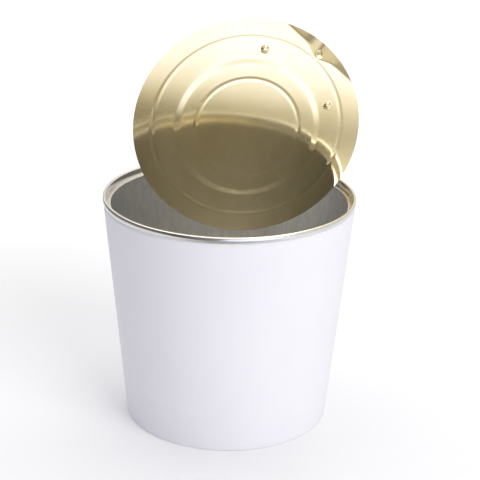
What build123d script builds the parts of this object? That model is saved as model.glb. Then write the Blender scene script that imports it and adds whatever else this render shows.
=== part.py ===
from build123d import *
from math import atan, cos, degrees, radians, sin, sqrt
import os

# Tapered paperboard tub with a double-seamed metal rim. Its easy-open lid has been torn out
# of the rim and stands upright in the mouth, gold inner face to the front.
# Millimetres, +Z up, origin on the tub's axis at the surface that it stands on, front is -Y.

os.makedirs("parts", exist_ok=True)

# Overall sizes
rim_diameter = 130.0
height = 120.0
base_diameter = 106.6

# Sheet materials
board = 0.40
tin = 0.22
fold_gap = 0.02

# Tub wall
seam_proud = 0.45
neck_height = 1.5
board_bend = 0.30
hem_height = 7.0
lap_width = 8.0
lap_ramp = 5.0
lap_bottom = 0.6

# Recessed floor
floor_height = 8.0
skirt_end = 1.0
floor_bend = 0.9

# Double seam and what the torn end leaves of the rim
seam_height = 3.2
seam_corner = 0.45
seam_crown = 0.10
seam_foot = 0.22
cover_hook_height = 1.9
body_hook_height = 2.0
sealant_thickness = 0.16
sealant_width = 0.6
chuck_wall_drop = 4.9
chuck_wall_lean = 0.75
countersink_width = 0.95
countersink_bend = 0.3
ledge_drop = 4.2
ledge_width = 0.75
ledge_bend = 0.2

# Torn-out lid panel, distances in from its edge unless named otherwise
panel_draw_in = 2.15
groove_depth = 0.5
groove_width = 2.3
groove_bend = 1.4
outer_groove_inset = 9.7
step_inset = 22.5
step_rise = 0.5
step_width = 1.6
inner_groove_inset = 32.0
rivet_inset = 5.7
hinge_inset = 2.2
crease_inset = 8.1
flap_bend = 16.0
dimple_inset = 15.6
dimple_spread = 32.0
dimple_radius = 2.0
dimple_rise = 0.55

# Where the lid stands in the mouth
lid_lean = 5.5
lid_turn = 2.2
lid_rise = 30.4
lid_setback = 15.7
lid_clearance = 0.2
rivet_direction = 47.5

# Rivet drawn from the panel
rivet_radius = 1.9
rivet_head_radius = 2.5
rivet_head_thickness = 0.25

# Pull tab and the tongue that the rivet holds
tongue_thickness = 0.28
tongue_width = 6.0
tongue_corner = 0.8
tab_thickness = 1.2
tab_length = 36.0
tab_width = 24.0
nose_width = 13.0
tab_clearance = 0.3
finger_hole_radius = 8.0
web_thickness = 0.5
rolled_edge = 1.6
rolled_edge_radius = 0.54
slot_side_gap = 0.7
slot_start = 1.0
slot_length = 8.0

# Radii through the seam, from its outside in: panel, body hook, cover hook, body wall, chuck wall
rim_radius = rim_diameter / 2
base_radius = base_diameter / 2
seam_layer = tin / 2 + fold_gap + board / 2
seam_panel_r = rim_radius - seam_crown - tin / 2
body_hook_r = seam_panel_r - seam_layer
cover_hook_r = body_hook_r - seam_layer
seamed_wall_r = cover_hook_r - seam_layer
chuck_wall_r = seamed_wall_r - seam_layer
seam_bottom = height - seam_height
body_hook_top = height - tin - sealant_thickness - 2 * fold_gap - board / 2

# The wall's outer face is a cone from the base to the shoulder under the seam
shoulder_height = seam_bottom - neck_height
shoulder_radius = rim_radius - seam_proud
wall_slope = (shoulder_radius - base_radius) / shoulder_height
layer_step = board + fold_gap


def wall_outer(z):
    return base_radius + wall_slope * z


def layer_middle(z, layers_in):
    return wall_outer(z) - board / 2 - layer_step * layers_in


# Side wall: hem, fold at the base, cone, neck, body hook
with BuildPart() as side_wall:
    with BuildSketch(Plane.XZ):
        with BuildLine():
            wall_line = FilletPolyline(
                (layer_middle(hem_height, 2), hem_height),
                (layer_middle(board / 2, 2), board / 2),
                (layer_middle(board / 2, 0), board / 2),
                (layer_middle(shoulder_height, 0), shoulder_height),
                (seamed_wall_r, seam_bottom),
                (seamed_wall_r, body_hook_top - seam_layer),
                radius=[board_bend, board_bend, 0, 0],
            )
            hook_bend = CenterArc((cover_hook_r, body_hook_top - seam_layer), seam_layer, 180, -180)
            Line(hook_bend @ 1, (body_hook_r, body_hook_top - body_hook_height))
        trace(line_width=board)
    revolve(axis=Axis.Z)

    # Lapped side seam down the back: a second thickness that ends in a cut edge on one side
    for lap_z in (lap_bottom, shoulder_height):
        with BuildSketch(Plane.XY.offset(lap_z)):
            inner_r = wall_outer(lap_z) - board / 2
            outer_r = wall_outer(lap_z) + board
            lap_end = degrees(lap_width / wall_outer(lap_z))
            ramp_end = lap_end + degrees(lap_ramp / wall_outer(lap_z))
            with BuildLine():
                Line((0, inner_r), (0, outer_r))
                outer_arc = CenterArc((0, 0), outer_r, 90, lap_end)
                inner_arc = CenterArc((0, 0), inner_r, 90, ramp_end)
                Line(outer_arc @ 1, inner_arc @ 1)
            make_face()
    loft(ruled=True)

side_wall.part.label = "side_wall"
export_step(side_wall.part, "parts/side_wall.step")

# Recessed floor with its skirt between the wall and the hem
with BuildPart() as bottom_disc:
    with BuildSketch(Plane.XZ):
        with BuildLine():
            floor_middle = floor_height + board / 2
            floor_line = FilletPolyline(
                (0, floor_middle),
                (layer_middle(floor_middle, 1), floor_middle),
                (layer_middle(skirt_end, 1), skirt_end),
                radius=floor_bend,
            )
        trace(floor_line, line_width=board)
    revolve(axis=Axis.Z)

bottom_disc.part.label = "bottom_disc"
export_step(bottom_disc.part, "parts/bottom_disc.step")

# Rim: torn edge, ledge, countersink, chuck wall, seaming panel, cover hook
ledge_outer_r = chuck_wall_r - chuck_wall_lean - countersink_width
torn_edge_r = ledge_outer_r - ledge_width
with BuildPart() as rim_ring:
    with BuildSketch(Plane.XZ):
        with BuildLine():
            bend_height = seam_bottom + tin / 2 + seam_layer
            rim_line = FilletPolyline(
                (torn_edge_r, height - ledge_drop),
                (ledge_outer_r, height - ledge_drop),
                (ledge_outer_r, height - chuck_wall_drop),
                (chuck_wall_r - chuck_wall_lean, height - chuck_wall_drop),
                (chuck_wall_r, seam_bottom),
                (chuck_wall_r, height - tin / 2),
                (seam_panel_r, height - tin / 2),
                (seam_panel_r + seam_crown, height - seam_height / 2),
                (seam_panel_r, bend_height + seam_foot),
                (seam_panel_r, bend_height),
                radius=[ledge_bend, ledge_bend, countersink_bend, 0, seam_corner, seam_corner, 0, 0],
            )
            hook_bend = CenterArc((body_hook_r, bend_height), seam_layer, 0, -180)
            Line(hook_bend @ 1, (cover_hook_r, seam_bottom + cover_hook_height))
        trace(line_width=tin)
    revolve(axis=Axis.Z)

rim_ring.part.label = "rim_ring"
export_step(rim_ring.part, "parts/rim_ring.step")

# Lining compound on top of the body hook
sealant_middle_r = (seamed_wall_r + body_hook_r) / 2
with BuildPart() as seam_sealant:
    with BuildSketch(Plane.XZ):
        with Locations((sealant_middle_r, height - tin - fold_gap - sealant_thickness / 2)):
            Rectangle(sealant_width, sealant_thickness)
    revolve(axis=Axis.Z)

seam_sealant.part.label = "seam_sealant"
export_step(seam_sealant.part, "parts/seam_sealant.step")

# Lid plane: origin at the panel's centre, x to the right, y up, z out of the gold inner face.
# The panel's right edge rests against the rim, at the ledge or at the top of the chuck wall.
panel_radius = torn_edge_r - panel_draw_in
lid_normal = Vector(
    sin(radians(lid_turn)) * cos(radians(lid_lean)),
    -cos(radians(lid_turn)) * cos(radians(lid_lean)),
    -sin(radians(lid_lean)),
)
lid_right = Vector(cos(radians(lid_turn)), sin(radians(lid_turn)), 0)
lid_up = lid_normal.cross(lid_right)


def lid_shift_to(seat_radius, seat_height):
    down = (seat_height - height - lid_rise) / lid_up.Z
    across = sqrt(panel_radius**2 - down**2)
    seat_y = lid_setback + across * lid_right.Y + down * lid_up.Y
    seat_x = sqrt((seat_radius - lid_clearance) ** 2 - seat_y**2)
    return seat_x - across * lid_right.X - down * lid_up.X


lid_shift = min(
    lid_shift_to(torn_edge_r, height - ledge_drop),
    lid_shift_to(chuck_wall_r - tin / 2, height - seam_corner),
)
lid_centre = Vector(lid_shift, lid_setback, height + lid_rise)
lid_plane = Plane(origin=lid_centre, x_dir=lid_right, z_dir=lid_normal)
lid_section = Plane(origin=lid_centre, x_dir=lid_right, z_dir=-lid_up)

outer_groove_r = panel_radius - outer_groove_inset
step_r = panel_radius - step_inset
inner_groove_r = panel_radius - inner_groove_inset

# Panel as it was stamped, flat: raised centre with a groove round it, step, band, outer groove
with BuildPart() as stamped_panel:
    with BuildSketch(lid_section):
        with BuildLine():
            panel_line = FilletPolyline(
                (0, step_rise),
                (inner_groove_r - groove_width / 2, step_rise),
                (inner_groove_r, step_rise - groove_depth),
                (inner_groove_r + groove_width / 2, step_rise),
                (step_r - step_width / 2, step_rise),
                (step_r + step_width / 2, 0),
                (outer_groove_r - groove_width / 2, 0),
                (outer_groove_r, -groove_depth),
                (outer_groove_r + groove_width / 2, 0),
                (panel_radius, 0),
                radius=groove_bend,
            )
        trace(panel_line, line_width=tin)
    revolve(axis=Axis(lid_centre, lid_normal))

# Crease beside the rivet, on the inner face, and the flap that the pull has bent back from it
pull_direction = lid_right * cos(radians(rivet_direction)) + lid_up * sin(radians(rivet_direction))
crease_point = lid_centre + pull_direction * (panel_radius - crease_inset) + lid_normal * (tin / 2)
crease_axis = Axis(crease_point, lid_normal.cross(pull_direction))
crease_cut = Plane(origin=crease_point, z_dir=pull_direction)
flap_out = pull_direction * cos(radians(flap_bend)) - lid_normal * sin(radians(flap_bend))
flap_back = -lid_normal * cos(radians(flap_bend)) - pull_direction * sin(radians(flap_bend))
flat_flap = split(stamped_panel.part, bisect_by=crease_cut, keep=Keep.TOP)

# Rivet frame: origin on the flap's inner face, z out of its outer face
rivet_plane = Plane(
    origin=crease_point + flap_out * (crease_inset - rivet_inset), x_dir=flap_out, z_dir=flap_back
)
tongue_bottom = tin + fold_gap
rivet_seat = tongue_bottom + tongue_thickness + fold_gap

with BuildPart() as lid_panel:
    add(stamped_panel.part)
    split(bisect_by=crease_cut, keep=Keep.BOTTOM)
    add(flat_flap.rotate(crease_axis, flap_bend))

    # Two dimples in the band, one on each side of the rivet
    for side in (-1, 1):
        dimple_angle = radians(rivet_direction + side * dimple_spread)
        dimple_out = lid_right * cos(dimple_angle) + lid_up * sin(dimple_angle)
        dimple_centre = lid_centre + dimple_out * (panel_radius - dimple_inset)
        with BuildSketch(Plane(origin=dimple_centre, x_dir=lid_right, z_dir=lid_normal)):
            Circle(dimple_radius)
        extrude(amount=tin, both=True, mode=Mode.SUBTRACT)
        with BuildSketch(Plane(origin=dimple_centre, x_dir=lid_right, z_dir=-lid_up)):
            with BuildLine():
                dimple_line = FilletPolyline(
                    (0, dimple_rise),
                    (dimple_radius / 2, dimple_rise),
                    (dimple_radius, 0),
                    (dimple_radius + dimple_rise, 0),
                    radius=dimple_rise,
                )
            trace(dimple_line, line_width=tin)
        revolve(axis=Axis(dimple_centre, lid_normal))

    # Hollow rivet drawn through the tongue and flattened on it
    with BuildSketch(rivet_plane):
        Circle(rivet_radius - tin)
    extrude(amount=tin, mode=Mode.SUBTRACT)
    with BuildSketch(rivet_plane):
        Circle(rivet_radius)
        Circle(rivet_radius - tin, mode=Mode.SUBTRACT)
    extrude(amount=rivet_seat)
    with BuildSketch(rivet_plane.offset(rivet_seat)):
        Circle(rivet_head_radius)
    extrude(amount=rivet_head_thickness)

lid_panel.part.label = "lid_panel"
export_step(lid_panel.part, "parts/lid_panel.step")

# The tab turns about its rolled nose, which lies just clear of the flap
nose_radius = tab_thickness / 2
hinge_reach = crease_inset - hinge_inset
hinge_centre = crease_point + flap_out * hinge_reach + flap_back * (tin + tab_clearance + nose_radius)
hinge_offset = hinge_centre - lid_centre
nose_bottom = -hinge_offset.dot(lid_normal) - nose_radius
heel_seat = tin / 2 - step_rise + tab_clearance
tab_slope = atan((nose_bottom - heel_seat) / tab_length)
tab_along = lid_normal * sin(tab_slope) - pull_direction * cos(tab_slope)
tab_outward = -lid_normal * cos(tab_slope) - pull_direction * sin(tab_slope)
tab_plane = Plane(origin=hinge_centre, x_dir=tab_along, z_dir=tab_outward)
hinge_line = tab_along.cross(tab_outward)
ring_middle = tab_length - tab_width / 2

with BuildPart() as tab_tongue:
    with BuildSketch(rivet_plane.offset(tongue_bottom)):
        tongue_start = rivet_inset - crease_inset + fold_gap
        tongue_stop = rivet_inset - hinge_inset - nose_radius - tab_clearance
        with Locations(((tongue_start + tongue_stop) / 2, 0)):
            Rectangle(tongue_stop - tongue_start, tongue_width)
        Circle(rivet_radius + fold_gap, mode=Mode.SUBTRACT)
    extrude(amount=tongue_thickness)
    corners = tab_tongue.edges().filter_by(Axis(rivet_plane.origin, flap_back)).filter_by(GeomType.LINE)
    fillet(corners, tongue_corner)

tab_tongue.part.label = "tab_tongue"
export_step(tab_tongue.part, "parts/tab_tongue.step")

# Pull tab: finger ring with rolled edges, thinner web, slot round the tongue, rolled nose
with BuildPart() as pull_tab:
    with BuildSketch(tab_plane) as tab_outline:
        with Locations((ring_middle, 0)):
            Circle(tab_width / 2)
        with Locations((nose_radius, 0)):
            Rectangle(2 * nose_radius, nose_width)
        make_hull()
        with Locations((ring_middle, 0)):
            Circle(finger_hole_radius, mode=Mode.SUBTRACT)
    extrude(amount=nose_radius, both=True)
    edges_by_height = pull_tab.edges().group_by(Axis(hinge_centre, tab_outward))
    outline = edges_by_height[0] + edges_by_height[-1]
    rolled = outline.filter_by(lambda edge: tab_plane.to_local_coords(edge.center()).X > tab_length / 4)
    fillet(rolled, rolled_edge_radius)
    with BuildSketch(Plane(origin=hinge_centre, x_dir=tab_along, z_dir=hinge_line)):
        Circle(nose_radius)
    extrude(amount=nose_width / 2, both=True)
    for face_side in (-1, 1):
        with BuildSketch(tab_plane.offset(face_side * web_thickness / 2)):
            with Locations((ring_middle, 0)):
                Circle(tab_width / 2 - rolled_edge)
            with Locations((nose_radius + rolled_edge, 0)):
                Rectangle(2 * nose_radius, nose_width - 2 * rolled_edge)
            make_hull()
            with Locations((ring_middle, 0)):
                Circle(finger_hole_radius + rolled_edge, mode=Mode.SUBTRACT)
        extrude(amount=face_side * nose_radius, mode=Mode.SUBTRACT)
    with BuildSketch(tab_plane):
        with Locations(((slot_start + slot_length) / 2, 0)):
            Rectangle(slot_length - slot_start, tongue_width + 2 * slot_side_gap)
    extrude(amount=nose_radius, both=True, mode=Mode.SUBTRACT)

pull_tab.part.label = "pull_tab"
export_step(pull_tab.part, "parts/pull_tab.step")
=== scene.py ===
import bpy
from math import acos, ceil, cos, exp, hypot, pi, radians, sin, sqrt, tan
from mathutils import Matrix, Vector, noise


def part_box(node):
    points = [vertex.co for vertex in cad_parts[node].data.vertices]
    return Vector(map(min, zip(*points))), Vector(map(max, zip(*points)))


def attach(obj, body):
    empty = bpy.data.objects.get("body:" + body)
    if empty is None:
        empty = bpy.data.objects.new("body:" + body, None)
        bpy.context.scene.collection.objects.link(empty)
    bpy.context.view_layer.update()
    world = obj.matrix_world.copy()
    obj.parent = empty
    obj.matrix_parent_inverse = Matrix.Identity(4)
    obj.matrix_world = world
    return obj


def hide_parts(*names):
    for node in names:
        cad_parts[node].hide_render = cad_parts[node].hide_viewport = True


# Looks of a paperboard tub with a double-seamed metal rim and its torn-off easy-open lid.
# Metres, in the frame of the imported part: +Z is up and the front is -Y.

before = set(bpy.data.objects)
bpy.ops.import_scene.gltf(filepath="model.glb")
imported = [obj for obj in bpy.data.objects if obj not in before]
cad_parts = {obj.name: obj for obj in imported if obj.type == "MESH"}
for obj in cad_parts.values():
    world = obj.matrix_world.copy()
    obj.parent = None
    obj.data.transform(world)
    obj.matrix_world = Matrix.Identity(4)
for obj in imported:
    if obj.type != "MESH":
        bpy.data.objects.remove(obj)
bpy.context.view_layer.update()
bpy.context.scene.view_settings.view_transform = "Standard"
MM = 0.001

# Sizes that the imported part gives, and how far the rim stays inside its solid
rim_low, rim_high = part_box("rim_ring")
inside_cad = 0.01 * MM
rim_radius = -rim_low.x - inside_cad
tub_height = rim_high.z

# Sheets and the radii through the double seam
board = 0.40 * MM
tin = 0.22 * MM
fold_gap = 0.02 * MM
lining = 0.16 * MM
seam_crown = 0.10 * MM
seam_height = 3.2 * MM
body_hook = 2.0 * MM
cover_hook = 1.9 * MM
seam_layer = tin / 2 + fold_gap + board / 2
seam_panel_r = rim_radius - seam_crown - tin / 2
body_hook_r = seam_panel_r - seam_layer
cover_hook_r = body_hook_r - seam_layer
seamed_wall_r = cover_hook_r - seam_layer
chuck_wall_r = seamed_wall_r - seam_layer
seam_bottom = tub_height - seam_height

# Tub wall and floor
base_radius = 53.3 * MM
neck_height = 1.5 * MM
shoulder_radius = rim_radius - 0.45 * MM
shoulder_height = seam_bottom - neck_height
board_bend = 0.30 * MM
hem_height = 7.0 * MM
lap_width = 8.0 * MM
lap_ramp = 5.0 * MM
lap_bottom = 0.6 * MM
floor_height = 8.0 * MM
floor_bend = 0.9 * MM
skirt_end = 1.0 * MM
tub_columns = 240

# Angles of the wall's lapped seam: its start at the back, and from there the ends of its lap and ramp
lap_start = pi / 2
lap_end = lap_width / shoulder_radius
ramp_end = lap_end + lap_ramp / shoulder_radius

# Rim inside the seam, and its torn edge
chuck_wall_drop = 4.9 * MM
chuck_wall_lean = 0.75 * MM
countersink_width = 0.95 * MM
ledge_drop = 4.2 * MM
ledge_width = 0.75 * MM
rim_bends = [size * MM for size in (0.2, 0.2, 0.3, 0.8, 0.45, 0.45, 2.0, 1.0)]
rim_columns = 480
tear_detail = 40
tear_depth = 0.05 * MM
tear_grain = 0.03 * MM
tear_lift = 0.02 * MM

# Lid panel: its plane, its relief, and the flap that the pull bent back
lid_radius = 58.85 * MM
lid_centre = Vector((9.784, 15.7, 150.4)) * MM
lid_lean = radians(5.5)
lid_turn = radians(2.2)
groove_depth = 0.08 * MM
groove_width = 2.6 * MM
groove_bend = 7.0 * MM
step_rise = 0.30 * MM
step_width = 3.0 * MM
step_bend = 3.6 * MM
outer_groove_r = lid_radius - 9.7 * MM
step_r = lid_radius - 22.5 * MM
inner_groove_r = lid_radius - 32.0 * MM
pull_angle = radians(47.5)
flap_bend = radians(16)
flap_softness = 0.45 * MM
flap_width = 5.2 * MM
crease_dip = 2.9 * MM
crease_dip_width = 5.6 * MM
crease_dip_shift = 0.6 * MM
crease_reach = lid_radius - 8.1 * MM
rivet_reach = lid_radius - 5.7 * MM
rivet_pit_radius = 1.55 * MM
rivet_pit_depth = 0.54 * MM
rivet_head_radius = 2.5 * MM
rivet_head_thickness = 0.25 * MM
rivet_columns = 48
dimple_reach = lid_radius - 15.6 * MM
dimple_spread = radians(32)
dimple_radius = 2.0 * MM
dimple_rise = 0.55 * MM

# Floor as the metal mirrors it, all painted reflection seen only in mirrored rays: a dark strip in front
# of the tub, a glow past the strip, and dimming at both sides and far off. Each pair of distances is
# where a change begins and where it is complete.
strip_slant = -0.37
strip_front = (-0.372, -0.302)
strip_middle = (-0.290, -0.282)
strip_back = (-0.26, -0.17)
left_side = (-0.13, -0.05)
left_ring = (0.37, 0.43)
right_side = (0.28, 0.55)
far_off = (-1.1, -0.65)
glow_front = (-0.44, -0.34)
glow_far = (-0.85, -0.60)
glow_right = (0.22, 0.40)

# Floor as the camera sees it: it turns white behind the tub and all round far off
white_behind = (-0.15, 0.6)
white_round = (0.6, 2.5)
floor_half = 6.0

# World: its fill, and in metal the rise from the horizon and from the left, by direction
fill_turn = (-0.9, 0.3)
horizon_rise = (-0.05, 0.55)
left_turn = (-0.75, -0.15)
left_rise = (0.12, 1.0)
cool_turn = (-0.9, 0.1)

# Faces of a sheet, as indices of the materials given to its mesh
LEFT, RIGHT, CUT = 0, 1, 2

# Values between which nearly all of a noise lies
noise_span = (0.3, 0.7)


# Sections of bent sheet
def fillet_line(points, radii):
    """The points of a line of straight runs whose inner corners are rounded to these radii."""
    line = [Vector(points[0])]
    for before, corner, after, radius in zip(points, points[1:], points[2:], radii):
        corner = Vector(corner)
        back = (Vector(before) - corner).normalized()
        ahead = (Vector(after) - corner).normalized()
        turn = pi - acos(max(-1.0, min(1.0, back.dot(ahead))))
        if radius == 0 or turn < 0.01:
            line.append(corner)
            continue
        centre = corner + (back + ahead).normalized() * (radius / cos(turn / 2))
        start = corner + back * (radius * tan(turn / 2)) - centre
        side = 1 if back.x * ahead.y - back.y * ahead.x < 0 else -1
        line += arc_points(centre, start, side * turn)
    line.append(Vector(points[-1]))
    return line


def arc_points(centre, start, sweep):
    steps = max(2, ceil(abs(sweep) / radians(10)))
    return [centre + Matrix.Rotation(sweep * i / steps, 2) @ start for i in range(steps + 1)]


def offset_line(line, distance):
    """The line moved sideways, to the left of its direction, with mitred corners."""
    moved = []
    for i, point in enumerate(line):
        before = (point - line[i - 1]).normalized() if i > 0 else None
        after = (line[i + 1] - point).normalized() if i < len(line) - 1 else before
        before = before or after
        left = Vector((-before.y - after.y, before.x + after.x)).normalized()
        mitre = max(0.3, left.dot(Vector((-before.y, before.x))))
        moved.append(point + left * (distance / mitre))
    return moved


def sheet_outline(line, thickness):
    """A closed outline round a sheet: its points, and for each run which face of the sheet it is."""
    left = offset_line(line, thickness / 2)
    right = offset_line(line, -thickness / 2)
    points = left + right[::-1]
    runs = [LEFT] * (len(left) - 1) + [CUT] + [RIGHT] * (len(right) - 1) + [CUT]
    return points, runs


# Meshes
def make_object(name, vertices, faces, slots, materials):
    """A smooth mesh with sharp edges where its faces meet at more than 35 degrees."""
    mesh = bpy.data.meshes.new(name)
    mesh.from_pydata(vertices, [], faces)
    for material in materials:
        mesh.materials.append(material)
    mesh.polygons.foreach_set("material_index", slots)
    mesh.polygons.foreach_set("use_smooth", [True] * len(mesh.polygons))
    mesh.validate()
    mesh.set_sharp_from_angle(angle=radians(35))
    made = bpy.data.objects.new(name, mesh)
    bpy.context.scene.collection.objects.link(made)
    return made


def even_angles(count):
    return [2 * pi * i / count for i in range(count)]


def revolve(name, points, runs, angles, materials, shape=None):
    """A closed outline of (radius, height) turned round the Z axis, where shape may move each point."""
    vertices = []
    for angle in angles:
        for i, (radius, height) in enumerate(points):
            if shape:
                radius, height = shape(i, radius, height, angle)
            vertices.append((radius * cos(angle), radius * sin(angle), height))
    faces, slots = [], []
    count = len(points)
    for j in range(len(angles)):
        here = j * count
        there = (j + 1) % len(angles) * count
        for i, run in enumerate(runs):
            k = (i + 1) % count
            if max(points[i][0], points[k][0]) > 1e-9:
                faces.append((here + i, here + k, there + k, there + i))
                slots.append(run)
    return make_object(name, vertices, faces, slots, materials)


# Material building: colours are (red, green, blue), and an input may be a value or a socket
def add_node(tree, kind, values=None, **settings):
    made = tree.nodes.new(kind)
    for key, value in settings.items():
        setattr(made, key, value)
    for key, value in (values or {}).items():
        if isinstance(value, bpy.types.NodeSocket):
            tree.links.new(value, made.inputs[key])
        else:
            made.inputs[key].default_value = value
    return made


def new_material(name, **values):
    material = bpy.data.materials.new(name)
    material.use_nodes = True
    tree = material.node_tree
    shader = tree.nodes["Principled BSDF"]
    for key, value in values.items():
        shader.inputs[key.replace("_", " ")].default_value = value
    return material, tree, shader


def place(tree):
    return add_node(tree, "ShaderNodeTexCoord").outputs["Object"]


def stretched(tree, source, scale):
    mapping = add_node(tree, "ShaderNodeMapping", {"Vector": source, "Scale": scale})
    return mapping.outputs["Vector"]


def split(tree, source):
    return add_node(tree, "ShaderNodeSeparateXYZ", {"Vector": source}).outputs


def length(tree, source):
    return add_node(tree, "ShaderNodeVectorMath", {0: source}, operation="LENGTH").outputs["Value"]


def noise_at(tree, source, scale, detail=3.0, roughness=0.5):
    values = {"Vector": source, "Scale": scale, "Detail": detail, "Roughness": roughness}
    return add_node(tree, "ShaderNodeTexNoise", values).outputs["Fac"]


def remap(tree, source, span, results=(0.0, 1.0)):
    """A number that eases from the first to the second result while the source crosses the span."""
    values = {
        "Value": source,
        "From Min": span[0],
        "From Max": span[1],
        "To Min": results[0],
        "To Max": results[1],
    }
    made = add_node(tree, "ShaderNodeMapRange", values, interpolation_type="SMOOTHSTEP")
    return made.outputs["Result"]


def mix(tree, kind, factor, a, b):
    """A blend of two numbers or two colours."""
    made = tree.nodes.new("ShaderNodeMix")
    made.data_type = kind
    suffix = {"RGBA": "Color", "FLOAT": "Float"}[kind]
    for name, value in (("Factor_Float", factor), ("A_" + suffix, a), ("B_" + suffix, b)):
        socket = next(i for i in made.inputs if i.identifier == name)
        if isinstance(value, bpy.types.NodeSocket):
            tree.links.new(value, socket)
        else:
            socket.default_value = value
    return next(o for o in made.outputs if o.identifier == "Result_" + suffix)


def mix_colour(tree, factor, a, b):
    a, b = ((*colour, 1.0) if isinstance(colour, tuple) else colour for colour in (a, b))
    return mix(tree, "RGBA", factor, a, b)


def maths(tree, operation, *values):
    return add_node(tree, "ShaderNodeMath", dict(enumerate(values)), operation=operation).outputs[0]


def product(tree, *factors):
    result = factors[0]
    for factor in factors[1:]:
        result = maths(tree, "MULTIPLY", result, factor)
    return result


def clouded(tree, mask, a, b):
    """A colour that wanders between a and b with a noise."""
    return mix_colour(tree, remap(tree, mask, noise_span), a, b)


def set_roughness(tree, shader, mask, low, high):
    tree.links.new(remap(tree, mask, noise_span, (low, high)), shader.inputs["Roughness"])


def set_colour(tree, shader, colour):
    tree.links.new(colour, shader.inputs["Base Color"])


def bump(tree, shader, height, distance, strength=1.0, under=None):
    """Relief from a noise, on top of the relief under it, if there is one."""
    values = {"Height": height, "Distance": distance, "Strength": strength}
    if under:
        values["Normal"] = under
    made = add_node(tree, "ShaderNodeBump", values)
    tree.links.new(made.outputs["Normal"], shader.inputs["Normal"])
    return made.outputs["Normal"]


def around_axis(tree, source):
    """Coordinates of radius and height only, for the fine rings that spinning leaves."""
    x, y, z = split(tree, source)
    radius = length(tree, add_node(tree, "ShaderNodeCombineXYZ", {"X": x, "Y": y}).outputs[0])
    return add_node(tree, "ShaderNodeCombineXYZ", {"X": radius, "Y": z}).outputs[0]


# Materials
def coated_paper():
    """White clay-coated board: faint clouds, fine fibres and an upright grain."""
    material, tree, shader = new_material("coated_paper")
    where = place(tree)
    cloud = noise_at(tree, where, 28.0, 2.0)
    fibre = noise_at(tree, where, 1400.0, 5.0, 0.6)
    grain = noise_at(tree, stretched(tree, where, (1, 1, 0.12)), 900.0)
    tone = clouded(tree, cloud, (0.865, 0.858, 0.912), (0.88, 0.873, 0.925))
    tone = mix_colour(tree, remap(tree, fibre, (0.35, 0.75), (0, 0.12)), tone, (0.80, 0.785, 0.84))
    set_colour(tree, shader, tone)
    set_roughness(tree, shader, fibre, 0.46, 0.62)
    under = bump(tree, shader, grain, 0.01 * MM, 0.5)
    bump(tree, shader, fibre, 0.012 * MM, 0.6, under)
    return material


def raw_board():
    """The cut edge of the board, with its layers and loose fibres."""
    material, tree, shader = new_material("raw_board", Roughness=0.85)
    where = place(tree)
    fibre = noise_at(tree, where, 2200.0, 6.0, 0.7)
    layers = noise_at(tree, stretched(tree, where, (1, 1, 6)), 700.0)
    tone = clouded(tree, fibre, (0.62, 0.58, 0.50), (0.80, 0.77, 0.70))
    tone = mix_colour(tree, remap(tree, layers, (0.4, 0.7), (0, 0.4)), tone, (0.55, 0.50, 0.42))
    set_colour(tree, shader, tone)
    bump(tree, shader, fibre, 0.03 * MM, 0.8)
    return material


def foil_lining():
    """Thin foil on board, with upright wrinkles."""
    material, tree, shader = new_material("foil_lining", Metallic=1.0)
    where = place(tree)
    wrinkle = noise_at(tree, stretched(tree, where, (1, 1, 0.35)), 420.0, 4.0, 0.6)
    fine = noise_at(tree, where, 2600.0, 3.0, 0.6)
    set_colour(tree, shader, clouded(tree, wrinkle, (0.70, 0.70, 0.70), (0.79, 0.79, 0.785)))
    set_roughness(tree, shader, fine, 0.32, 0.44)
    under = bump(tree, shader, wrinkle, 0.03 * MM, 0.4)
    bump(tree, shader, fine, 0.006 * MM, 0.5, under)
    return material


def tinplate(name, spun):
    """Bright tinned steel with fine marks, round the axis if it is spun, and else along one direction."""
    material, tree, shader = new_material(name, Metallic=1.0)
    where = place(tree)
    if spun:
        lines = noise_at(tree, around_axis(tree, where), 9000.0, 2.0)
    else:
        lines = noise_at(tree, stretched(tree, where, (0.02, 1, 1)), 7000.0, 2.0)
    cloud = noise_at(tree, where, 120.0)
    set_colour(tree, shader, clouded(tree, cloud, (0.765, 0.757, 0.74), (0.795, 0.787, 0.77)))
    set_roughness(tree, shader, lines, 0.14, 0.24)
    under = bump(tree, shader, lines, 0.003 * MM, 0.5)
    bump(tree, shader, cloud, 0.03 * MM, 0.15, under)
    return material


def gold_lacquer():
    """Gold lacquer on tinplate: rolling lines and a slight orange peel under a clear gloss."""
    material, tree, shader = new_material(
        "gold_lacquer", Metallic=1.0, Coat_Weight=1.0, Coat_IOR=1.8, Coat_Roughness=0.06
    )
    where = place(tree)
    cloud = noise_at(tree, where, 45.0)
    peel = noise_at(tree, where, 700.0, 2.0)
    lines = noise_at(tree, stretched(tree, where, (0.02, 1, 1)), 5200.0, 2.0)
    set_colour(tree, shader, clouded(tree, cloud, (0.90, 0.75, 0.40), (0.93, 0.79, 0.46)))
    set_roughness(tree, shader, lines, 0.09, 0.13)
    under = bump(tree, shader, lines, 0.002 * MM, 0.5)
    bump(tree, shader, peel, 0.010 * MM, 0.25, under)
    return material


def torn_metal():
    """The crumbled edge that a tear along the score leaves."""
    material, tree, shader = new_material("torn_metal", Metallic=1.0)
    crumble = noise_at(tree, place(tree), 5000.0, 4.0, 0.7)
    set_colour(tree, shader, clouded(tree, crumble, (0.55, 0.54, 0.52), (0.86, 0.85, 0.83)))
    set_roughness(tree, shader, crumble, 0.25, 0.5)
    bump(tree, shader, crumble, 0.03 * MM, 0.9)
    return material


def lining_compound():
    """The dark rubbery compound inside the seam."""
    material, tree, shader = new_material("lining_compound", Roughness=0.7)
    grain = noise_at(tree, place(tree), 1500.0)
    set_colour(tree, shader, clouded(tree, grain, (0.10, 0.105, 0.105), (0.15, 0.155, 0.155)))
    bump(tree, shader, grain, 0.02 * MM, 0.5)
    return material


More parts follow.
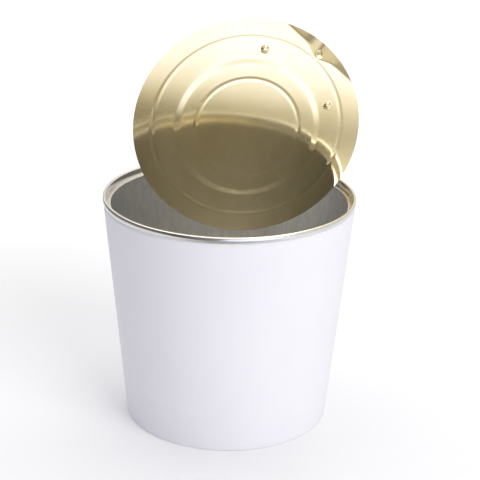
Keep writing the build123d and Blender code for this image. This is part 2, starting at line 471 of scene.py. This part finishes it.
paper = coated_paper()
cut_board = raw_board()
foil = foil_lining()
spun_tin = tinplate("spun_tinplate", True)
rolled_tin = tinplate("rolled_tinplate", False)
gold = gold_lacquer()
torn = torn_metal()
compound = lining_compound()


# Tub
def wall_outer(height):
    return base_radius + (shoulder_radius - base_radius) * height / shoulder_height


def layer_middle(height, layers_in):
    return wall_outer(height) - board / 2 - (board + fold_gap) * layers_in


def wall_angles():
    """Even columns round the wall, with close pairs at the edges of the lapped seam."""
    edges = [lap_start - 1e-5, lap_start + 1e-5, lap_start + lap_end, lap_start + ramp_end]
    angles = set(even_angles(tub_columns)) - {lap_start}
    return sorted(angles | set(edges))


def lap(i, radius, height, angle):
    """The lapped seam: a second thickness that ends in a cut edge on one side and fades on the other."""
    past = angle - lap_start
    on_outside = radius > wall_outer(height) - 0.05 * MM
    on_cone = lap_bottom + board / 2 < height < shoulder_height - board / 2
    if not (on_outside and on_cone and 0 < past < ramp_end):
        return radius, height
    return radius + board * min(1.0, (ramp_end - past) / (ramp_end - lap_end)), height


def side_wall():
    hook_bend = tub_height - tin - lining - 2 * fold_gap - board / 2 - seam_layer
    line = fillet_line(
        [
            (layer_middle(hem_height, 2), hem_height),
            (layer_middle(board / 2, 2), board / 2),
            (layer_middle(board / 2, 0), board / 2),
            (layer_middle(lap_bottom, 0), lap_bottom),
            (layer_middle(lap_bottom + board, 0), lap_bottom + board),
            (layer_middle(shoulder_height - board, 0), shoulder_height - board),
            (layer_middle(shoulder_height, 0), shoulder_height),
            (seamed_wall_r, seam_bottom),
            (seamed_wall_r, hook_bend),
        ],
        [board_bend, board_bend, 0, 0, 0, 0, 0],
    )
    line += arc_points(Vector((cover_hook_r, hook_bend)), Vector((-seam_layer, 0)), -pi)[1:]
    line.append(Vector((body_hook_r, hook_bend + seam_layer - body_hook)))
    points, runs = sheet_outline(line, board)
    made = revolve("wall_skin", points, runs, wall_angles(), [foil, paper, cut_board], lap)
    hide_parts("side_wall")
    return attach(made, "tub")


def bottom_disc():
    middle = floor_height + board / 2
    line = fillet_line(
        [(0, middle), (layer_middle(middle, 1), middle), (layer_middle(skirt_end, 1), skirt_end)],
        [floor_bend],
    )
    rows = 12
    spread = [line[0].lerp(line[1], i / rows) for i in range(rows)] + line[1:]
    points, runs = sheet_outline(spread, board)
    made = revolve("floor_skin", points, runs, even_angles(tub_columns), [foil, paper, cut_board])
    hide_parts("bottom_disc")
    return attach(made, "tub")


def rim_ring():
    ledge_outer_r = chuck_wall_r - chuck_wall_lean - countersink_width
    torn_edge_r = ledge_outer_r - ledge_width
    bend_height = seam_bottom + tin / 2 + seam_layer
    line = fillet_line(
        [
            (torn_edge_r, tub_height - ledge_drop),
            (ledge_outer_r, tub_height - ledge_drop),
            (ledge_outer_r, tub_height - chuck_wall_drop),
            (chuck_wall_r - chuck_wall_lean, tub_height - chuck_wall_drop),
            (chuck_wall_r, seam_bottom),
            (chuck_wall_r, tub_height - tin / 2),
            (seam_panel_r, tub_height - tin / 2),
            (seam_panel_r + seam_crown, tub_height - seam_height / 2),
            (seam_panel_r, bend_height + tin),
            (seam_panel_r, bend_height),
        ],
        rim_bends,
    )
    line += arc_points(Vector((body_hook_r, bend_height)), Vector((seam_layer, 0)), -pi)[1:]
    line.append(Vector((cover_hook_r, seam_bottom + cover_hook)))
    points, runs = sheet_outline(line, tin)
    edge_points = (0, len(points) - 1)

    def torn_edge(i, radius, height, angle):
        """The edge that tore along the score is slightly ragged, and its lip is drawn up a little."""
        if i in edge_points:
            spot = Vector((cos(angle), sin(angle), 0.3 * i)) * tear_detail
            radius += noise.noise(spot) * tear_depth + noise.noise(spot * 4) * tear_grain
            height += noise.noise(spot * 2) * tear_lift
        return radius, height

    made = revolve("rim_skin", points, runs, even_angles(rim_columns), [spun_tin, gold, torn], torn_edge)
    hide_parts("rim_ring")
    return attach(made, "tub")


# Lid panel, in its own plane: x to the right, y up, z out of the gold inner face
def lid_matrix():
    normal = Vector((sin(lid_turn) * cos(lid_lean), -cos(lid_turn) * cos(lid_lean), -sin(lid_lean)))
    right = Vector((cos(lid_turn), sin(lid_turn), 0))
    up = normal.cross(right)
    turned = Matrix((right, up, normal)).transposed()
    return Matrix.Translation(lid_centre) @ turned.to_4x4()


def panel_line():
    """The flat panel's section from its centre to its edge, as (radius, height)."""
    half = groove_width / 2
    return fillet_line(
        [
            (0, step_rise),
            (inner_groove_r - half, step_rise),
            (inner_groove_r, step_rise - groove_depth),
            (inner_groove_r + half, step_rise),
            (step_r - step_width / 2, step_rise),
            (step_r + step_width / 2, 0),
            (outer_groove_r - half, 0),
            (outer_groove_r, -groove_depth),
            (outer_groove_r + half, 0),
            (lid_radius, 0),
        ],
        [groove_bend] * 3 + [step_bend] * 2 + [groove_bend] * 3,
    )


def eased(low, high, value):
    """0 below low and 1 above high, with a smooth rise between."""
    part = max(0.0, min(1.0, (value - low) / (high - low)))
    return part * part * (3 - 2 * part)


def height_on(line, radius):
    for a, b in zip(line, line[1:]):
        if a.x <= radius <= b.x and b.x > a.x:
            return a.y + (b.y - a.y) * (radius - a.x) / (b.x - a.x)
    return line[-1].y


def on_lid(reach, angle):
    return Vector((reach * cos(angle), reach * sin(angle)))


def relief(line, x, y):
    """Height of the panel's middle surface before the flap is bent."""
    height = height_on(line, hypot(x, y))
    for side in (-1, 1):
        dimple = on_lid(dimple_reach, pull_angle + side * dimple_spread)
        away = hypot(x - dimple.x, y - dimple.y)
        height += dimple_rise * (1 - eased(0.35 * dimple_radius, 1.15 * dimple_radius, away))
    rivet = on_lid(rivet_reach, pull_angle)
    away = hypot(x - rivet.x, y - rivet.y)
    height -= rivet_pit_depth * (1 - eased(0.85 * rivet_pit_radius, 1.15 * rivet_pit_radius, away))
    return height


def flap_start(across):
    """How far from the lid's centre the bend starts: a shallow crease with a dip behind the rivet."""
    dip = exp(-((across - crease_dip_shift) / crease_dip_width) ** 2)
    return lid_radius - flap_width - crease_dip * dip


def bend_flap(x, y, height):
    """Where a point of the flat panel lies after the pull has bent the flap back."""
    along = x * cos(pull_angle) + y * sin(pull_angle)
    across = y * cos(pull_angle) - x * sin(pull_angle)
    past = along - flap_start(across)
    bent = (past + sqrt(past * past + flap_softness * flap_softness)) / 2 if past > -4 * MM else 0
    along -= (1 - cos(flap_bend)) * bent
    return Vector(
        (
            along * cos(pull_angle) - across * sin(pull_angle),
            along * sin(pull_angle) + across * cos(pull_angle),
            height - sin(flap_bend) * bent,
        )
    )


def lid_radii():
    """Rows from the centre to the edge, close together over each groove, the step and the dimples."""
    fine = 0.33 * MM
    coarse = 3.0 * MM
    busy = [
        (inner_groove_r - 2.2 * MM, inner_groove_r + 2.2 * MM),
        (step_r - 1.8 * MM, step_r + 1.8 * MM),
        (dimple_reach - 2.6 * MM, dimple_reach + 2.6 * MM),
        (outer_groove_r - 2.2 * MM, lid_radius),
    ]
    radii = []
    radius = 0.5 * MM
    while radius < lid_radius - fine / 2:
        radii.append(radius)
        close = any(low <= radius <= high for low, high in busy)
        gaps = [low - radius for low, high in busy if low > radius]
        radius += fine if close else max(fine, min([coarse] + gaps))
    return radii + [lid_radius]


def lid_angles():
    """Columns round the panel, close together at the rivet and the two dimples."""
    fine = radians(0.4)
    coarse = radians(1.25)
    busy = [pull_angle, pull_angle - dimple_spread, pull_angle + dimple_spread]
    angles = []
    angle = 0.0
    while angle < 2 * pi - fine / 2:
        angles.append(angle)
        close = any(abs(angle - middle) < radians(4.5) for middle in busy)
        angle += fine if close else coarse
    return angles


def lid_panel():
    line = panel_line()
    radii = lid_radii()
    angles = lid_angles()
    nudge = 0.02 * MM

    def surface(x, y):
        return bend_flap(x, y, relief(line, x, y))

    vertices = []
    for radius in radii:
        for angle in angles:
            x = radius * cos(angle)
            y = radius * sin(angle)
            middle = surface(x, y)
            right = surface(x + nudge, y) - middle
            up = surface(x, y + nudge) - middle
            normal = right.cross(up).normalized()
            vertices.append(middle + normal * tin / 2)
            vertices.append(middle - normal * tin / 2)

    def at(i, j, side):
        return 2 * (i * len(angles) + j % len(angles)) + side

    faces, slots = [], []
    for i in range(len(radii) - 1):
        for j in range(len(angles)):
            faces.append((at(i, j, 0), at(i + 1, j, 0), at(i + 1, j + 1, 0), at(i, j + 1, 0)))
            faces.append((at(i, j, 1), at(i, j + 1, 1), at(i + 1, j + 1, 1), at(i + 1, j, 1)))
            slots += [LEFT, RIGHT]
    edge = len(radii) - 1
    for j in range(len(angles)):
        faces.append((at(edge, j, 0), at(edge, j, 1), at(edge, j + 1, 1), at(edge, j + 1, 0)))
        slots.append(CUT)
    centre = len(vertices)
    vertices.append(Vector((0, 0, step_rise + tin / 2)))
    vertices.append(Vector((0, 0, step_rise - tin / 2)))
    for j in range(len(angles)):
        faces.append((centre, at(0, j, 0), at(0, j + 1, 0)))
        faces.append((centre + 1, at(0, j + 1, 1), at(0, j, 1)))
        slots += [LEFT, RIGHT]
    add_rivet_head(vertices, faces, slots)
    placed = lid_matrix()
    vertices = [placed @ vertex for vertex in vertices]
    made = make_object("lid_skin", vertices, faces, slots, [gold, rolled_tin, torn])
    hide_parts("lid_panel")
    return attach(made, "tub")


def add_rivet_head(vertices, faces, slots):
    """The flattened head on the outer side, which holds the tab's tongue."""
    pull = on_lid(1.0, pull_angle).to_3d()
    inward = Vector((0, 0, 1))
    out = pull * cos(flap_bend) - inward * sin(flap_bend)
    back = -pull * sin(flap_bend) - inward * cos(flap_bend)
    side = back.cross(out)
    crease = pull * crease_reach + inward * (tin / 2)
    origin = crease + out * (rivet_reach - crease_reach) + back * rivet_pit_depth
    section = [
        (0.8, 0.0), (0.97, 0.0), (1.0, 0.3), (1.0, 0.6), (0.94, 0.92),
        (0.85, 1.0), (0.52, 1.0), (0.42, 0.72), (0.2, 0.62), (0.0, 0.6),
    ]
    start = len(vertices)
    for angle in even_angles(rivet_columns):
        for part_out, part_up in section:
            reach = part_out * rivet_head_radius
            flat = out * (reach * cos(angle)) + side * (reach * sin(angle))
            vertices.append(origin + flat + back * (part_up * rivet_head_thickness))
    for j in range(rivet_columns):
        here = start + j * len(section)
        there = start + (j + 1) % rivet_columns * len(section)
        for i in range(len(section) - 1):
            faces.append((here + i, there + i, there + i + 1, here + i + 1))
            slots.append(RIGHT)


def dress_carried_nodes():
    """Materials for the solids that are shown as they are."""
    finishes = {"seam_sealant": compound, "tab_tongue": rolled_tin, "pull_tab": rolled_tin}
    for node, material in finishes.items():
        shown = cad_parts[node]
        shown.data.materials.clear()
        shown.data.materials.append(material)


# Camera: 480 pixels square, fitted to the rim, the base and the lid's outline
def make_camera():
    pitch = radians(20.76)
    yaw = radians(5.56)
    roll = radians(1.10)
    place_at = Vector((-62.5, -701.8, 361.7)) * MM
    focal_pixels = 1450
    image_pixels = 480
    sensor = 36
    ahead = Vector((sin(yaw) * cos(pitch), cos(yaw) * cos(pitch), -sin(pitch)))
    right = Vector((cos(yaw), -sin(yaw), 0))
    up = right.cross(ahead)
    level = Matrix((right, up, -ahead)).transposed()
    turned = level @ Matrix.Rotation(roll, 3, "Z")
    camera = bpy.data.objects.new("camera", bpy.data.cameras.new("camera"))
    bpy.context.scene.collection.objects.link(camera)
    camera.data.sensor_width = sensor
    camera.data.lens = sensor * focal_pixels / image_pixels
    camera.data.clip_start = 0.01
    camera.data.clip_end = 50
    camera.matrix_world = Matrix.Translation(place_at) @ turned.to_4x4()
    bpy.context.scene.camera = camera


# Studio
def make_floor():
    """A pale sheet. Its changes in tone are painted reflection, seen only in mirrored rays; its white
    distance is for the camera's.
    """
    material, tree, shader = new_material("studio_floor", Roughness=0.6)
    where = place(tree)
    x, y = split(tree, where)[:2]
    reach = length(tree, where)
    slanted = maths(tree, "MULTIPLY_ADD", x, strip_slant, y)
    light_path = add_node(tree, "ShaderNodeLightPath")
    mirrored = light_path.outputs["Is Glossy Ray"]
    seen = light_path.outputs["Is Camera Ray"]

    cloud = noise_at(tree, where, 3.0, 2.0)
    tone = clouded(tree, cloud, (0.895, 0.896, 0.902), (0.915, 0.916, 0.922))
    # Painted reflection: in mirrored rays only, a dark strip in the floor's colour puts a dark band into
    # the mirroring lid
    painted_dark_strip = product(
        tree,
        remap(tree, slanted, strip_front),
        remap(tree, y, strip_middle, (1.0, 0.75)),
        remap(tree, y, strip_back, (1.0, 0.0)),
        mirrored,
    )
    tone = mix_colour(tree, painted_dark_strip, tone, (0.15, 0.13, 0.09))

    # Painted reflection: in mirrored rays only, the floor's colour darkens at the left, to the right and
    # far off in front
    left = product(tree, remap(tree, x, left_side, (0.88, 0.0)), remap(tree, reach, left_ring))
    right = remap(tree, x, right_side, (0.0, 0.28))
    far = remap(tree, y, far_off, (0.40, 0.0))
    dim = maths(tree, "MAXIMUM", maths(tree, "MAXIMUM", left, right), far)
    dim = product(tree, dim, mirrored)
    set_colour(tree, shader, mix_colour(tree, dim, tone, (0.0, 0.0, 0.0)))

    behind = remap(tree, y, white_behind, (0.0, 0.3))
    around = remap(tree, reach, white_round, (0.0, 0.7))
    backdrop = product(tree, seen, maths(tree, "ADD", behind, around))
    # Painted reflection: a bluish glow from the floor, in mirrored rays only, brightens what the metal
    # mirrors though it is no lamp
    painted_glow = product(
        tree,
        remap(tree, slanted, glow_front, (0.50, 0.0)),
        remap(tree, y, glow_far),
        remap(tree, x, glow_right, (1.0, 0.0)),
        maths(tree, "SUBTRACT", mirrored, dim),
    )
    tree.links.new(maths(tree, "ADD", backdrop, painted_glow), shader.inputs["Emission Strength"])
    painted_glow_colour = mix_colour(tree, mirrored, (1.0, 1.0, 1.0), (0.55, 0.80, 1.80))
    tree.links.new(painted_glow_colour, shader.inputs["Emission Color"])

    corners = [(-1, -1), (1, -1), (1, 1), (-1, 1)]
    mesh = bpy.data.meshes.new("studio_floor")
    mesh.from_pydata([(floor_half * a, floor_half * b, 0) for a, b in corners], [], [(0, 1, 2, 3)])
    mesh.materials.append(material)
    made = bpy.data.objects.new("studio_floor", mesh)
    bpy.context.scene.collection.objects.link(made)


def make_world():
    """Soft light, white to the camera, cooler at the left, and in metal dim at the left and low down."""
    world = bpy.data.worlds.new("studio")
    bpy.context.scene.world = world
    world.use_nodes = True
    tree = world.node_tree
    background = tree.nodes["Background"]
    x, y, z = split(tree, add_node(tree, "ShaderNodeTexCoord").outputs["Generated"])
    light_path = add_node(tree, "ShaderNodeLightPath")
    mirrored = light_path.outputs["Is Glossy Ray"]
    seen = light_path.outputs["Is Camera Ray"]

    above_left = maths(tree, "ADD", z, remap(tree, x, left_turn, left_rise))
    in_metal = product(
        tree,
        remap(tree, z, horizon_rise, (0.70, 1.0)),
        remap(tree, above_left, left_rise, (0.10, 1.0)),
    )
    fill = remap(tree, x, fill_turn, (0.40, 0.42))
    strength = mix(tree, "FLOAT", mirrored, fill, in_metal)
    strength = mix(tree, "FLOAT", seen, strength, 1.0)
    tree.links.new(strength, background.inputs["Strength"])

    cool_left = mix_colour(tree, remap(tree, x, cool_turn), (0.93, 0.92, 1.06), (1.0, 1.0, 1.0))
    tint = mix_colour(tree, mirrored, cool_left, (1.0, 0.94, 0.84))
    tint = mix_colour(tree, seen, tint, (1.0, 1.0, 1.0))
    tree.links.new(tint, background.inputs["Color"])


def add_light(name, location, target, size, power):
    light = bpy.data.lights.new(name, "AREA")
    light.shape = "RECTANGLE"
    light.size, light.size_y = size
    light.energy = power
    made = bpy.data.objects.new(name, light)
    bpy.context.scene.collection.objects.link(made)
    made.location = location
    made.rotation_euler = (Vector(target) - Vector(location)).to_track_quat("-Z", "Y").to_euler()


make_camera()
make_floor()
make_world()
add_light("key", location=(0.75, -1.15, 0.95), target=(0, 0, 0.07), size=(1.0, 0.6), power=12.5)
add_light("top", location=(-0.05, 0.42, 1.55), target=(0, 0, 0.05), size=(1.8, 1.5), power=14)

side_wall()
bottom_disc()
rim_ring()
lid_panel()
dress_carried_nodes()
